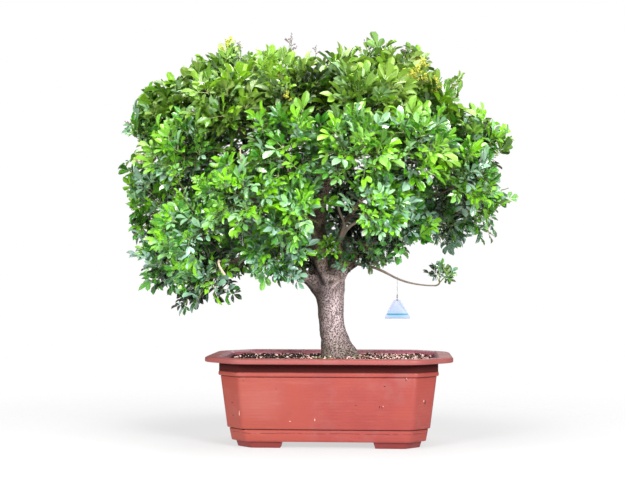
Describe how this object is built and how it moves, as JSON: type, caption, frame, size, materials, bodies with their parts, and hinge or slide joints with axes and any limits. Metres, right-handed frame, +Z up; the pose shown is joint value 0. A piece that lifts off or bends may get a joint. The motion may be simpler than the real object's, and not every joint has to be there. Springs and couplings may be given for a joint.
{
  "type": "aglaia bonsai",
  "caption": "Bonsai tree with a thick speckled trunk, a wide domed crown of glossy pinnate leaves and small yellow flowers, in a rectangular footed pot.",
  "frame": {"origin": "on the surface that the pot stands on, under the middle of the bounding box", "axes": "+Z up, -Y is the front face of the pot as pictured, +X to the right along the pot's length"},
  "size_m": [1.0032, 0.7458, 1.0181],
  "materials": {
    "pot_plastic": "worn satin red-brown moulded plastic",
    "soil": "coarse mix of pale grit and dark grains",
    "bark": "grey-brown bark with fine dark speckles",
    "leaves_sunlit": "glossy yellowish green leaflets",
    "leaves": "glossy green leaflets",
    "leaves_shaded": "glossy dark green leaflets",
    "flowers": "matt yellow buds",
    "tag_plastic": "plain pale plastic",
    "tag_wire": "thin drawn wire"
  },
  "bodies": {
    "root": {"pot": "pot_plastic", "soil": "soil", "trunk_and_branches": "bark", "spray_left_low_1": "leaves_shaded", "spray_left_low_2": "leaves_shaded", "spray_left_low_3": "leaves_shaded", "spray_left_low_4": "leaves_shaded", "spray_left_low_5": "leaves_shaded", "spray_left_mid_1": "leaves", "spray_left_mid_2": "leaves", "spray_left_mid_3": "leaves", "spray_left_mid_4": "leaves", "spray_left_mid_5": "leaves", "spray_left_top_1": "leaves", "spray_left_top_2": "leaves_sunlit", "spray_left_top_3": "leaves_sunlit", "spray_left_top_4": "leaves_sunlit", "spray_left_top_5": "leaves_sunlit", "spray_leader_1": "leaves_shaded", "spray_leader_2": "leaves_sunlit", "spray_leader_3": "leaves_sunlit", "spray_leader_4": "leaves_sunlit", "spray_leader_5": "leaves_sunlit", "spray_right_top_1": "leaves_sunlit", "spray_right_top_2": "leaves_sunlit", "spray_right_top_3": "leaves_sunlit", "spray_right_top_4": "leaves_sunlit", "spray_right_mid_1": "leaves_shaded", "spray_right_mid_2": "leaves_shaded", "spray_right_mid_3": "leaves", "spray_right_mid_4": "leaves", "spray_right_mid_5": "leaves", "spray_right_mid_6": "leaves", "spray_front_left_1": "leaves_shaded", "spray_front_left_2": "leaves", "spray_front_left_3": "leaves", "spray_front_right_1": "leaves_shaded", "spray_front_right_2": "leaves", "spray_front_right_3": "leaves", "spray_back_left_1": "leaves_shaded", "spray_back_left_2": "leaves", "spray_back_right_1": "leaves_shaded", "spray_back_right_2": "leaves", "spray_tag_twig_1": "leaves_shaded", "panicle_top_left": "flowers", "panicle_top_right": "flowers", "panicle_right": "flowers", "panicle_left": "flowers", "panicle_crown": "flowers", "tag": "tag_plastic", "tag_wire": "tag_wire"}
  },
  "joints": []
}
